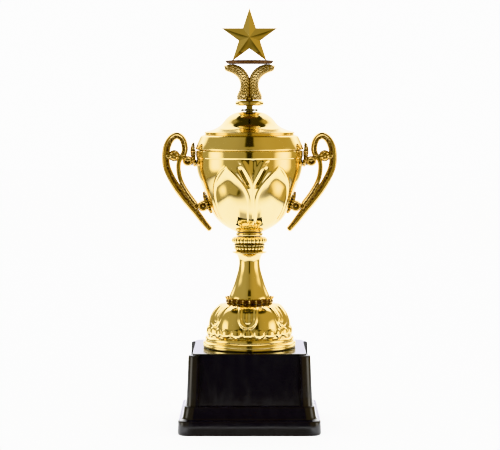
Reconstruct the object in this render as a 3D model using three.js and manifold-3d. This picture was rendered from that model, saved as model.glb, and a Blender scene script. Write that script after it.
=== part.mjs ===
// Cup trophy: a two-handled cup with a lift-off lid and a star finial, on a moulded plinth.
// Millimetres, +Z up. The origin is the centre of the plinth's underside, +X is to the right
// and the front faces -Y. Everything but the lid is threaded on one tie rod.

import * as THREE from 'three';
import { mergeVertices } from 'three/addons/utils/BufferGeometryUtils.js';
import Module from 'manifold-3d';

const wasm = await Module();
wasm.setup();

// ---------------------------------------------------------------- driving dimensions

const GAP = 0.3; // between pieces that touch
const ROUND = 30; // sides of a large turned piece
const SLIM = 20; // sides of a slim turned piece
const SMALL = 10; // sides of a rod or a screw

const PLINTH_TOP = 56.4;
const PLINTH_CORNER = 8; // outside corner radius
const PLINTH_HOLLOW_CORNER = 6;
const PANEL_HALF = 39.9; // half-width across the side panels, at the top
const PANEL_FLARE = 1.8; // how much wider the panels are at their foot
const PANEL_FOOT = 19.8; // height at which the panels and posts start
const POST_INNER = 35.4; // distance from the middle of a side to a corner post
const PLINTH_WALL = 2.2;
const BALLAST_BOTTOM = 33;

const FOOT_TOP = 88.3;
const KNOP_BOTTOM = 124.6;
const NECK_BOTTOM = 136.7;
const BOWL_BOTTOM = 139.5;
const BOWL_WALL = 1.5;
const RIM_TOP = 198.3;
const LID_BOTTOM = RIM_TOP + 0.4;
const LID_TOP = 225.7;
const FINIAL_BOTTOM = 230;
const PLATE_BOTTOM = 260;
const PLATE_THICKNESS = 2.4;
const TROPHY_TOP = 300;

const ROD_RADIUS = 2.5; // M5 rod and stud
const HOLE_RADIUS = 3;
const NUT_FLATS = 8;
const NUT_HEIGHT = 4;

const STRAP_DEPTH = 5;
const SCREW = { shank: 1.5, hole: 1.9, head: 2.6, headHeight: 1.7 };
const UPPER_SCREW = { x: 36.1, z: 188.4, tilt: 0, length: 8.4 };
const LOWER_SCREW = { x: 27.1, z: 159.3, tilt: 0.33, length: 7.6 };

const STAR_RADIUS = 21.1;
const STAR_INNER = STAR_RADIUS * 0.382; // the notches of a regular five-pointed star
const STAR_APEX = 2.2; // height of the middle above the star's centre plane
const STAR_EDGE = 0.6; // half thickness of the star's edge

// ---------------------------------------------------------------- materials

const finish = (color, roughness, metalness) =>
  new THREE.MeshStandardMaterial({ color, roughness, metalness });

const GOLD = () => finish(0xd9a62e, 0.12, 1);
const ANTIQUE_GOLD = () => finish(0xa87a28, 0.38, 1);
const STEEL = () => finish(0x9b9da0, 0.4, 1);
const CHROME = () => finish(0xd8dadd, 0.12, 1);
const BLACK_PLASTIC = () => finish(0x0b0b0d, 0.22, 0);
const BALLAST = () => finish(0x54524f, 0.8, 0.6);
const BOARD = () => finish(0x1a1a1c, 0.85, 0);

// ---------------------------------------------------------------- shape helpers

const vector = ([x, y]) => new THREE.Vector2(x, y);

// Points along a smooth line through the given points.
function smooth(points, steps) {
  const curve = new THREE.SplineCurve(points.map(vector));
  return curve.getPoints(steps).map((p) => [p.x, p.y]);
}

// The inner line of a wall whose outer line runs upwards.
function inset(profile, wall) {
  return profile.map(([r, z], i) => {
    const before = profile[Math.max(i - 1, 0)];
    const after = profile[Math.min(i + 1, profile.length - 1)];
    const run = [after[0] - before[0], after[1] - before[1]];
    const length = Math.hypot(run[0], run[1]);
    return [r - (wall * run[1]) / length, z + (wall * run[0]) / length];
  });
}

// A solid turned about Z from a closed [radius, height] outline.
function turned(outline, segments = ROUND) {
  const points = [...outline, outline[0]].map(vector);
  return solid(new THREE.LatheGeometry(points, segments).rotateX(Math.PI / 2));
}

// A closed manifold solid from a closed three.js geometry, with its faces pointing out.
function solid(geometry) {
  const bare = geometry.clone();
  bare.deleteAttribute('normal');
  bare.deleteAttribute('uv');
  const merged = mergeVertices(bare, 1e-4);
  const corners = [];
  for (let i = 0; i < merged.index.count; i += 3) {
    const face = [0, 1, 2].map((k) => merged.index.getX(i + k));
    if (new Set(face).size === 3) corners.push(...face);
  }
  const vertProperties = new Float32Array(merged.attributes.position.array);
  if (signedVolume(vertProperties, corners) < 0) corners.reverse();
  const triVerts = new Uint32Array(corners);
  return new wasm.Manifold(new wasm.Mesh({ numProp: 3, vertProperties, triVerts }));
}

function signedVolume(positions, corners) {
  const point = (i) => new THREE.Vector3().fromArray(positions, 3 * i);
  let volume = 0;
  for (let i = 0; i < corners.length; i += 3) {
    const [a, b, c] = [point(corners[i]), point(corners[i + 1]), point(corners[i + 2])];
    volume += a.dot(b.cross(c)) / 6;
  }
  return volume;
}

const union = (solids) => solids.reduce((all, next) => all.add(next));

function geometryOf(manifold) {
  const { vertProperties, triVerts } = manifold.getMesh();
  const geometry = new THREE.BufferGeometry();
  geometry.setAttribute('position', new THREE.BufferAttribute(vertProperties, 3));
  geometry.setIndex(new THREE.BufferAttribute(triVerts, 1));
  geometry.computeVertexNormals();
  return geometry;
}

// A plate lying in the XZ plane, centred on Y = 0.
function standingPlate(shape, depth, bevel = 0) {
  const geometry = new THREE.ExtrudeGeometry(shape, {
    depth: depth - 2 * bevel,
    bevelEnabled: bevel > 0,
    bevelThickness: bevel,
    bevelSize: bevel,
    bevelOffset: -bevel,
    bevelSegments: 1,
    curveSegments: 6,
  });
  return solid(geometry.translate(0, 0, bevel - depth / 2).rotateX(Math.PI / 2));
}

// A flat strap of one width that follows a line in the XZ plane.
function strap(line, width, steps) {
  const curve = new THREE.SplineCurve(line.map(vector));
  const left = [];
  const right = [];
  for (let i = 0; i <= steps; i += 1) {
    const point = curve.getPoint(i / steps);
    const along = curve.getTangent(i / steps);
    const side = new THREE.Vector2(-along.y, along.x).multiplyScalar(width / 2);
    left.push(point.clone().add(side));
    right.unshift(point.clone().sub(side));
  }
  return standingPlate(new THREE.Shape([...left, ...right]), STRAP_DEPTH, 0.9);
}

function roundedSquare(half, corner) {
  const shape = new THREE.Shape();
  const inner = half - corner;
  shape.absarc(inner, inner, corner, 0, Math.PI / 2);
  shape.absarc(-inner, inner, corner, Math.PI / 2, Math.PI);
  shape.absarc(-inner, -inner, corner, Math.PI, 1.5 * Math.PI);
  shape.absarc(inner, -inner, corner, 1.5 * Math.PI, 2 * Math.PI);
  return shape;
}

// A square block with rounded corners, whose half-width changes evenly from foot to top.
function squareBlock([footHalf, foot], [topHalf, top], corner) {
  const options = { depth: top - foot, bevelEnabled: false, curveSegments: 5 };
  const geometry = new THREE.ExtrudeGeometry(roundedSquare(footHalf, corner), options);
  const position = geometry.attributes.position;
  for (let i = 0; i < position.count; i += 1) {
    const share = position.getZ(i) / (top - foot);
    const scale = 1 + share * (topHalf / footHalf - 1);
    position.setXYZ(i, position.getX(i) * scale, position.getY(i) * scale, position.getZ(i) + foot);
  }
  return solid(geometry);
}

// Square blocks stacked along a list of [half-width, height] steps.
function squareStack(steps, corner) {
  const blocks = [];
  for (let i = 1; i < steps.length; i += 1) {
    if (steps[i][1] > steps[i - 1][1]) blocks.push(squareBlock(steps[i - 1], steps[i], corner));
  }
  return union(blocks);
}

function cylinder(radius, bottom, top, segments = SMALL) {
  const geometry = new THREE.CylinderGeometry(radius, radius, top - bottom, segments);
  return solid(geometry.rotateX(Math.PI / 2).translate(0, 0, (top + bottom) / 2));
}

function washer(outer, bottom, top) {
  const outline = [[HOLE_RADIUS, bottom], [outer, bottom], [outer, top], [HOLE_RADIUS, top]];
  return turned(outline, SLIM);
}

function nut(bottom) {
  const corner = NUT_FLATS / 2 / Math.cos(Math.PI / 6);
  return cylinder(corner, bottom, bottom + NUT_HEIGHT, 6)
    .subtract(cylinder(HOLE_RADIUS, bottom - 1, bottom + NUT_HEIGHT + 1));
}

// ---------------------------------------------------------------- plinth

function plinthShell() {
  const outside = squareStack([
    [49.6, 0], [50.5, 1.2], [50.1, 9.9], [49.2, 10.6], [47.3, 11.2],
    [46.8, 12.6], [46.2, 16], [45.6, PANEL_FOOT], [44.7, PANEL_FOOT],
    [43, PLINTH_TOP - 1.6], [42.4, PLINTH_TOP - 1], [PANEL_HALF, PLINTH_TOP - 1],
    [PANEL_HALF, PLINTH_TOP],
  ], PLINTH_CORNER);
  const inside = squareStack([
    [47.7, -1], [47.7, 8.4], [PANEL_HALF + PANEL_FLARE - PLINTH_WALL, PANEL_FOOT - 0.5],
    [PANEL_HALF - PLINTH_WALL, PLINTH_TOP - 3],
  ], PLINTH_HOLLOW_CORNER);
  const panels = [0, 1, 2, 3].map((side) => panelRecess().rotate([0, 0, 90 * side]));
  return outside.subtract(inside).subtract(union(panels))
    .subtract(cylinder(HOLE_RADIUS, PLINTH_TOP - 5, PLINTH_TOP + 1));
}

// The space in front of a side panel, which leans in slightly towards the top.
function panelRecess() {
  const top = PLINTH_TOP + 1;
  const shape = new THREE.Shape([
    [PANEL_HALF + PANEL_FLARE, PANEL_FOOT], [60, PANEL_FOOT], [60, top], [PANEL_HALF, top],
  ].map(vector));
  return standingPlate(shape, 2 * POST_INNER);
}

function plinthWeight() {
  const top = PLINTH_TOP - 3 - GAP;
  return squareBlock([36.5, BALLAST_BOTTOM], [36.5, top], PLINTH_HOLLOW_CORNER)
    .subtract(cylinder(HOLE_RADIUS, BALLAST_BOTTOM - 1, top + 1));
}

// ---------------------------------------------------------------- foot, stem and knop

// The foot is drawn in on six narrow valleys between its lobes.
function lobed(footSolid) {
  return footSolid.warp((vertex) => {
    const [x, y, z] = vertex;
    const lift = Math.max(0, Math.min(1, (z - 72) / 8));
    const valley = Math.max(0, Math.cos(6 * (Math.atan2(y, x) + Math.PI / 2))) ** 3;
    const scale = 1 - 0.05 * lift * valley;
    vertex[0] = x * scale;
    vertex[1] = y * scale;
  });
}

function foot() {
  const bottom = PLINTH_TOP + GAP;
  const rings = [
    [33.3, bottom], [33.3, 60.6], [31.6, 61.2], [31.6, 64.2], [30.4, 64.8], [30.4, 71],
  ];
  const dome = smooth([[29.4, 73.4], [29.1, 77.5], [27.6, 82], [24.2, 85.7], [20, 87.7],
    [16.4, FOOT_TOP]], 7);
  const inside = smooth([[18, FOOT_TOP - 3], [22.6, FOOT_TOP - 4.8], [26, 80], [27.4, 74],
    [28.4, 66], [30.6, 60], [31.2, bottom]], 5);
  const centre = [[HOLE_RADIUS, FOOT_TOP], [HOLE_RADIUS, FOOT_TOP - 2.2], [14, FOOT_TOP - 2.2]];
  return lobed(turned([...rings, ...dome, ...centre, ...inside], 36));
}

function calyxRing() {
  const bottom = FOOT_TOP + GAP;
  return turned([
    [HOLE_RADIUS, bottom], [15.2, bottom], [16.6, bottom + 0.9], [16.4, bottom + 2.2],
    [17.2, bottom + 4.1], [15.6, bottom + 4.1], [15.3, bottom + 1.7], [HOLE_RADIUS, bottom + 1.7],
  ], SLIM);
}

function stem() {
  const bottom = FOOT_TOP + 2.3;
  const top = KNOP_BOTTOM - GAP;
  const outside = smooth([[14.9, bottom + 1.5], [13.8, 95.2], [11.4, 100.9], [9.6, 106.7],
    [8, 112.5], [7.5, 117], [7.9, 120.6], [9.2, 123.2], [11.4, top]], 11);
  const bore = smooth([[5.4, top - 4], [5.6, 114], [7.8, 107], [10.6, 98], [13.4, bottom]], 4);
  return turned([
    [14.9, bottom], ...outside, [HOLE_RADIUS, top], [HOLE_RADIUS, top - 3], ...bore,
  ], SLIM);
}

function knop() {
  const flange = [[HOLE_RADIUS, KNOP_BOTTOM], [12, KNOP_BOTTOM], [12, 125.4], [10.2, 125.9]];
  const beadBand = [[10.6, 126.8], [10.6, 128.4], [10.1, 129.1], [10.9, 129.6]];
  const bulb = smooth([[10.9, 130.4], [12.2, 132.4], [12.2, 134.3], [10, 136.4]], 5);
  return turned([...flange, ...beadBand, ...bulb, [HOLE_RADIUS, 136.4]], SLIM);
}

function neckRing() {
  const top = BOWL_BOTTOM - GAP;
  return turned([
    [HOLE_RADIUS, NECK_BOTTOM], [9, NECK_BOTTOM], [9.7, NECK_BOTTOM + 0.8],
    [9.7, top - 0.8], [9, top], [HOLE_RADIUS, top],
  ], SLIM);
}

// ---------------------------------------------------------------- bowl

const bowlLine = smooth([
  [9.6, BOWL_BOTTOM + 0.2], [18, 144.1], [25.4, 151.2], [28.9, 158], [32.2, 167.8],
  [35.9, 177.6], [38, 185.4], [38.1, 192.4],
], 14);

function bowl() {
  const rim = [[38.5, 193.2], [38.6, 197.9], [38.1, RIM_TOP], [36.7, RIM_TOP]];
  const inside = inset(bowlLine, BOWL_WALL).reverse();
  const shell = turned([[HOLE_RADIUS, BOWL_BOTTOM], ...bowlLine, ...rim, ...inside,
    [HOLE_RADIUS, BOWL_BOTTOM + BOWL_WALL]]);
  return shell.subtract(union(screwHoles()));
}

// The holes along the four handle screws, through the bowl's wall and into the handles.
function screwHoles() {
  const holes = [];
  for (const screw of [UPPER_SCREW, LOWER_SCREW]) {
    for (const turn of [0, 180]) {
      holes.push(alongScrew(cylinder(SCREW.hole, -3, screw.length + 1), screw, turn));
    }
  }
  return holes;
}

// Turns a piece made along +Z onto a handle screw's axis, on the right or the left side.
function alongScrew(piece, screw, turn) {
  const tilt = THREE.MathUtils.radToDeg(screw.tilt);
  return piece.rotate([0, 90 + tilt, 0]).translate([screw.x, 0, screw.z]).rotate([0, 0, turn]);
}

function handleScrew(screw, turn) {
  const piece = turned([
    [0, -SCREW.headHeight], [SCREW.head * 0.7, -SCREW.headHeight], [SCREW.head, -0.9],
    [SCREW.head, 0], [SCREW.shank, 0], [SCREW.shank, screw.length], [0, screw.length],
  ], SMALL);
  return alongScrew(piece, screw, turn);
}

// ---------------------------------------------------------------- handles

// A leaf that stands against the bowl: its edge-on outline, trimmed to a pointed oval.
function leaf(edgeOn, centre, width) {
  const [bottom, top] = [Math.min(...edgeOn.map((p) => p[1])), Math.max(...edgeOn.map((p) => p[1]))];
  const oval = new THREE.Shape();
  oval.moveTo(0, bottom);
  oval.quadraticCurveTo(width, centre, 0, top);
  oval.quadraticCurveTo(-width, centre, 0, bottom);
  const face = standingPlate(oval, 30).rotate([0, 0, 90]).translate([40, 0, 0]);
  return standingPlate(new THREE.Shape(edgeOn.map(vector)), 2 * width).intersect(face);
}

function ball(x, z, radius) {
  return solid(new THREE.SphereGeometry(radius, SMALL, 6).translate(x, 0, z));
}

function handle(turn) {
  const outerStrap = strap([
    [27.8, 140.6], [33.9, 147.9], [37.9, 153.2], [42.5, 158.8], [47, 164.5], [51, 169.9],
    [54.5, 175.5], [57.5, 181.3], [59.6, 187.2], [60.1, 193], [59.6, 198.8], [57.9, 203.8],
    [55.2, 207.3], [51.9, 208.6], [48.5, 206.6], [46.6, 201.8], [46.5, 197.6], [47.8, 194],
  ], 4.8, 28);
  const innerStrap = strap([
    [47.9, 194.2], [49.9, 191.6], [50.9, 188.2], [50.9, 183.8], [50.2, 179.4], [48.5, 174.6],
    [45.6, 169.4], [42.2, 164.4], [38.4, 159.4],
  ], 3.2, 12);
  const crossbar = strap([[60, 193.8], [54, 194.2], [47.6, 193.4]], 5.4, 4);
  const arm = strap([[48.4, 192.6], [41.8, 191.8]], 3.2, 1);
  const upperLeaf = leaf([
    [39.8, 203.6], [41.7, 200.2], [42.5, 197.4], [42.4, 194], [40.8, 190], [39.2, 186.6],
    [38, 186.6], [38, 203.6],
  ], 195, 10);
  const lowerLeaf = leaf([
    [30.6, 167.4], [33.2, 163.4], [31.6, 157.4], [28.8, 154.4], [26, 154.4], [28, 167.4],
  ], 161, 8);
  const casting = union([
    outerStrap, innerStrap, crossbar, arm, upperLeaf, lowerLeaf,
    ball(44.3, 190.5, 3.7), ball(33.2, 158.2, 4), ball(38, 158.2, 2.4),
  ]);
  const clearance = turned([
    [0, 100], ...bowlLine.map(([r, z]) => [r + GAP, z - GAP]), [38.9, 193], [38.9, 197],
    [39.4, 198.4], [39.4, 210], [0, 210],
  ]);
  return casting.subtract(clearance).subtract(union(screwHoles())).rotate([0, 0, turn]);
}

// ---------------------------------------------------------------- lid

function lid() {
  const edge = [[36.7, LID_BOTTOM], [38.6, LID_BOTTOM], [39, 199.3]];
  const tier = smooth([[38.5, 201.2], [37.8, 203.4], [36.8, 205.6], [35.4, 207.4], [33.2, 209.2]], 6);
  const brim = [[32.1, 209.9], [32.1, 210.7], [32.5, 211.2]];
  const dome = smooth([[29, 212.3], [24.4, 213.9], [20.2, 216.6], [16.8, 220.6], [13.2, 223.5],
    [6.6, LID_TOP]], 8);
  const inside = smooth([[8, LID_TOP - 1.8], [12.2, 222.2], [15.4, 219.6], [18.8, 215.4],
    [23.6, 212.4], [29.4, 210.2], [32.4, 207.6], [35, 206.2], [36.5, 204.8], [36.6, 203]], 10);
  return turned([...edge, ...tier, ...brim, ...dome, [HOLE_RADIUS, LID_TOP],
    [HOLE_RADIUS, LID_TOP - 1.8], ...inside]);
}

function lidCollar() {
  const [bottom, top] = [192.2, 204.6];
  return turned([[34.8, bottom], [35.7, bottom], [36.1, bottom + 0.8], [36.1, top], [34.8, top]]);
}

// ---------------------------------------------------------------- finial

function finialFoot() {
  return turned([
    [HOLE_RADIUS, FINIAL_BOTTOM], [9.2, FINIAL_BOTTOM], [10.2, FINIAL_BOTTOM + 1.2],
    [10.2, FINIAL_BOTTOM + 2.7], [9, FINIAL_BOTTOM + 3.9], [HOLE_RADIUS, FINIAL_BOTTOM + 3.9],
  ], SLIM);
}

// Two horns that part above a waist: the front outline crossed with a slimmer side outline.
function riser() {
  const bottom = FINIAL_BOTTOM + 3.9 + GAP;
  const top = PLATE_BOTTOM - GAP;
  const waist = smooth([[8.4, bottom], [8.9, bottom + 2.4], [7.2, 240.6], [6.3, 244.6],
    [7, 248], [10.4, 252.1]], 8);
  const horn = [[13.2, 253.6], [17.2, 255], [19.3, 257.6], [17.8, top], [7.6, top], [3.4, 255.2]];
  const half = [...waist, ...horn];
  const mirrored = half.map(([x, z]) => [-x, z]).reverse();
  const front = standingPlate(new THREE.Shape([...half, [0, 251.2], ...mirrored].map(vector)), 18);
  const side = smooth([[7.6, bottom], [8, bottom + 2.4], [5.6, 244.6], [5.2, top]], 6);
  const sideOutline = [...side, ...side.map(([x, z]) => [-x, z]).reverse()];
  const depth = standingPlate(new THREE.Shape(sideOutline.map(vector)), 44).rotate([0, 0, 90]);
  return front.intersect(depth).subtract(cylinder(HOLE_RADIUS, bottom - 1, 239.2));
}

function starPlate() {
  const top = PLATE_BOTTOM + PLATE_THICKNESS;
  return turned([[0, PLATE_BOTTOM], [15.8, PLATE_BOTTOM], [17.5, top - 0.5], [17.2, top], [0, top]]);
}

// A ten-sided double cone whose every other corner is drawn in to the notches of the star.
function star() {
  const profile = [[0, -STAR_APEX], [STAR_RADIUS, -STAR_EDGE], [STAR_RADIUS, STAR_EDGE],
    [0, STAR_APEX]].map(vector);
  const geometry = new THREE.LatheGeometry(profile, 10);
  const position = geometry.attributes.position;
  for (let i = 0; i < position.count; i += 1) {
    const corner = Math.floor(i / profile.length);
    const scale = corner % 2 === 0 ? 1 : STAR_INNER / STAR_RADIUS;
    position.setX(i, position.getX(i) * scale);
    position.setZ(i, position.getZ(i) * scale);
  }
  const centre = TROPHY_TOP - STAR_RADIUS;
  const whole = solid(geometry).translate([0, 0, centre]);
  const floor = PLATE_BOTTOM + PLATE_THICKNESS + GAP;
  return whole.subtract(cylinder(40, floor - 30, floor));
}

// ---------------------------------------------------------------- assembly

const trophy = new THREE.Group();

function add(name, manifold, material) {
  const mesh = new THREE.Mesh(geometryOf(manifold), material);
  mesh.name = name;
  trophy.add(mesh);
}

add('plinth_shell', plinthShell(), BLACK_PLASTIC());
add('plinth_weight', plinthWeight(), BALLAST());
add('bottom_plate', squareBlock([47.2, 0.6], [47.2, 2.6], PLINTH_HOLLOW_CORNER), BOARD());
add('rod_washer', washer(12, BALLAST_BOTTOM - 1.8, BALLAST_BOTTOM - GAP), STEEL());
add('rod_nut', nut(BALLAST_BOTTOM - 2.1 - NUT_HEIGHT), STEEL());
add('tie_rod', cylinder(ROD_RADIUS, 22, 149.4), STEEL());

add('foot', foot(), GOLD());
add('calyx_ring', calyxRing(), ANTIQUE_GOLD());
add('stem', stem(), GOLD());
add('knop', knop(), GOLD());
add('neck_ring', neckRing(), GOLD());
add('bowl', bowl(), GOLD());
add('bowl_washer', washer(8, 141.4, 142.6), STEEL());
add('bowl_nut', nut(142.9), STEEL());

for (const [side, turn] of [['right', 0], ['left', 180]]) {
  add(`handle_${side}`, handle(turn), ANTIQUE_GOLD());
  add(`handle_screw_upper_${side}`, handleScrew(UPPER_SCREW, turn), STEEL());
  add(`handle_screw_lower_${side}`, handleScrew(LOWER_SCREW, turn), STEEL());
}

add('lid', lid(), GOLD());
add('lid_collar', lidCollar(), GOLD());
add('lid_washer', washer(7, LID_TOP - 3.3, LID_TOP - 2.1), STEEL());
add('finial_washer', washer(6.1, LID_TOP + GAP, LID_TOP + 2.1), CHROME());

add('lid_nut', nut(LID_TOP - 3.6 - NUT_HEIGHT), STEEL());
add('finial_stud', cylinder(ROD_RADIUS, 215.5, 238.9), STEEL());
add('finial_foot', finialFoot(), ANTIQUE_GOLD());
add('riser', riser(), ANTIQUE_GOLD());
add('star_plate', starPlate(), GOLD());
add('star', star(), GOLD());

export default trophy;
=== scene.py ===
import math

import bmesh
import bpy
import numpy as np
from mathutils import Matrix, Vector


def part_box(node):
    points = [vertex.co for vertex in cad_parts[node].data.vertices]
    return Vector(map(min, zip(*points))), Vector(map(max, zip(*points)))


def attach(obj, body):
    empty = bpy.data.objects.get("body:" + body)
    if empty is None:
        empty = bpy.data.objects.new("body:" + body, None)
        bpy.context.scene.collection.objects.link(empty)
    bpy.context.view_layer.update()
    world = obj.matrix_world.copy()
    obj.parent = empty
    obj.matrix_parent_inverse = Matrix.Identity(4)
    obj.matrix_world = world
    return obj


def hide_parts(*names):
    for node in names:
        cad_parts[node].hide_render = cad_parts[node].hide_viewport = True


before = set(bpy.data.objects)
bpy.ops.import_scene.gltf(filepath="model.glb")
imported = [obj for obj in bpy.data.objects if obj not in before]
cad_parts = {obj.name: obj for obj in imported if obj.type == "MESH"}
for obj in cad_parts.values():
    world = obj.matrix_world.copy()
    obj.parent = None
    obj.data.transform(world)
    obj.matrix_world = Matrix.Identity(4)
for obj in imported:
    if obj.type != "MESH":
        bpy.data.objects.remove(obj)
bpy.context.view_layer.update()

MM = 0.001
TURN = 2 * math.pi
scene = bpy.context.scene

# -------- curves and outlines


def lengths(points):
    """How far along the line each of its points lies."""
    steps = np.linalg.norm(np.diff(points, axis=0), axis=1)
    return np.concatenate([[0.0], np.cumsum(steps)])


def spline(knots, count):
    """Evenly spaced points on the natural cubic spline through the knots."""
    p = np.array(knots, float)
    s = lengths(p)
    h = np.diff(s)
    n = len(p)
    a = np.eye(n)
    b = np.zeros_like(p)
    for i in range(1, n - 1):
        a[i, i - 1 : i + 2] = h[i - 1], 2 * (h[i - 1] + h[i]), h[i]
        b[i] = 6 * ((p[i + 1] - p[i]) / h[i] - (p[i] - p[i - 1]) / h[i - 1])
    m = np.linalg.solve(a, b)
    t = np.linspace(0, s[-1], count)
    i = np.clip(np.searchsorted(s, t, side="right") - 1, 0, n - 2)
    u, v = (t - s[i])[:, None], (s[i + 1] - t)[:, None]
    g = h[i][:, None]
    return (
        m[i] * v**3 / (6 * g)
        + m[i + 1] * u**3 / (6 * g)
        + (p[i] / g - m[i] * g / 6) * v
        + (p[i + 1] / g - m[i + 1] * g / 6) * u
    )


def route(knots, count):
    """Points on the spline through the knots, and the unit vectors across it."""
    path = spline(knots, count)
    along = np.gradient(path, axis=0)
    along /= np.linalg.norm(along, axis=1)[:, None]
    return path, np.column_stack([along[:, 1], -along[:, 0]])


def fillet(points, radius, closed=True, steps=4, least=14):
    """The outline with each corner that turns more than `least` degrees rounded."""
    p = np.array(points, float)
    n = len(p)
    out = []
    for i in range(n):
        if not closed and i in (0, n - 1):
            out.append(p[i])
            continue
        back, ahead = p[i - 1] - p[i], p[(i + 1) % n] - p[i]
        lb, la = np.linalg.norm(back), np.linalg.norm(ahead)
        if lb < 1e-9 or la < 1e-9:
            continue
        back, ahead = back / lb, ahead / la
        turn = math.pi - math.acos(np.clip(back @ ahead, -1, 1))
        if math.degrees(turn) < least:
            out.append(p[i])
            continue
        cut = min(radius * math.tan(turn / 2), 0.45 * lb, 0.45 * la)
        for k in range(steps + 1):
            t = k / steps
            a, b = p[i] + back * cut * (1 - t), p[i] + ahead * cut * t
            out.append(a * (1 - t) + b * t)
    return np.array(out)


def refine(points, step, closed=True):
    """The outline with long stretches divided, so that no step is over `step`."""
    p = np.array(points, float)
    out = []
    last = len(p) if closed else len(p) - 1
    for i in range(last):
        a, b = p[i], p[(i + 1) % len(p)]
        parts = max(1, math.ceil(np.linalg.norm(b - a) / step))
        out.extend(a + (b - a) * k / parts for k in range(parts))
    if not closed:
        out.append(p[-1])
    return np.array(out)


def soft_line(points, radius, step):
    """An open outline with rounded corners and divided stretches."""
    return refine(fillet(points, radius, closed=False), step, closed=False)


def ramp(x, low, high):
    """0 below low, 1 above high and smooth between."""
    t = np.clip((x - low) / (high - low), 0, 1)
    return t * t * (3 - 2 * t)


def bump(x):
    """A smooth hill, 1 at 0 and 0 from |x| = 1."""
    return 0.5 * (1 + np.cos(np.pi * np.clip(np.abs(x), 0, 1)))


def dome(x):
    """A round hill with an edge, 1 at 0 and 0 from |x| = 1."""
    return np.sqrt(np.clip(1 - np.asarray(x) ** 2, 0, 1))


def within(angle, pitch):
    """The angle from the nearest multiple of the pitch."""
    return (angle + pitch / 2) % pitch - pitch / 2


# -------- meshes


def circle(count):
    """Angles evenly spaced all round."""
    return np.arange(count) / count * TURN


def grid_faces(rows, cols, wrap_rows, wrap_cols):
    """The quads between neighbouring rows and columns of a grid of points."""
    i = np.arange(rows if wrap_rows else rows - 1)[:, None]
    j = np.arange(cols if wrap_cols else cols - 1)[None, :]
    a = i * cols + j
    b = i * cols + (j + 1) % cols
    c = ((i + 1) % rows) * cols + (j + 1) % cols
    d = ((i + 1) % rows) * cols + j
    return np.stack([a, b, c, d], -1).reshape(-1, 4).tolist()


class Shape:
    """Points in mm, faces and how far each point lies from the deepest recess, 0 to 1: patina on the
    antique gold, painted shade on the mirror gold.
    """

    def __init__(self):
        self.points, self.faces, self.relief = [], [], []
        self.count = 0

    def add(self, points, faces, relief=1.0):
        points = np.asarray(points, float).reshape(-1, 3)
        shade = np.broadcast_to(np.asarray(relief, float).reshape(-1), len(points))
        self.points.append(points)
        self.relief.append(np.clip(shade, 0, 1))
        self.faces.extend([[v + self.count for v in f] for f in faces])
        self.count += len(points)
        return self

    def grid(self, points, wrap_rows=True, caps=False, relief=1.0):
        rows, cols = points.shape[:2]
        faces = grid_faces(rows, cols, wrap_rows, True)
        if caps:
            faces.append(list(range(cols))[::-1])
            faces.append(list(range((rows - 1) * cols, rows * cols)))
        return self.add(points, faces, relief)


def placed(name, data):
    """A new object in the scene."""
    made = bpy.data.objects.new(name, data)
    scene.collection.objects.link(made)
    return made


def piece(name, shape, body, node, finish, crease):
    """The object of a shape, riding on a body in place of the CAD node."""
    points, relief = np.concatenate(shape.points), np.concatenate(shape.relief)
    mesh = bpy.data.meshes.new(name)
    mesh.from_pydata((points * MM).tolist(), [], shape.faces)
    mesh.validate()
    recess = mesh.attributes.new("relief", "FLOAT", "POINT")
    recess.data.foreach_set("value", relief.astype(np.float32))
    outward(mesh)
    mesh.shade_smooth()
    mesh.set_sharp_from_angle(angle=math.radians(crease))
    mesh.materials.append(finish)
    obj = placed(name, mesh)
    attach(obj, body)
    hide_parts(node)


def outward(mesh):
    """Turns the faces so that their normals point out of the solid."""
    work = bmesh.new()
    work.from_mesh(mesh)
    bmesh.ops.recalc_face_normals(work, faces=work.faces)
    work.to_mesh(mesh)
    work.free()


def around(outline, segments, relief=None):
    """The points of an outline [radius, height] turned about Z, with relief(angle, r, z)."""
    theta = circle(segments)[None, :]
    r = np.repeat(outline[:, :1], segments, 1)
    z = np.repeat(outline[:, 1:], segments, 1)
    shade = np.ones_like(r)
    if relief:
        dr, dz, shade = relief(theta + 0 * r, r, z)
        r, z = r + dr, z + dz
    return np.stack([r * np.sin(theta), -r * np.cos(theta), z], -1), shade


def turned(outline, segments, relief=None, tone=1.0):
    """The solid of an outline turned about Z; `tone` darkens it like a recess."""
    points, shade = around(outline, segments, relief)
    return Shape().grid(points, relief=shade * tone)


def span(node):
    """The node's half width and its lowest and highest level, in mm."""
    low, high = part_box(node)
    return (high.x - low.x) / 2 / MM, low.z / MM, high.z / MM


def seat(node, outline, radius=None):
    """The outline [radius, height] placed on the node: its base height and its radius."""
    half, floor, _ = span(node)
    p = np.array(outline, float)
    p[:, 1] += floor - p[:, 1].min()
    p[:, 0] *= half / (radius or p[:, 0].max())
    return p


# -------- node materials


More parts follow.
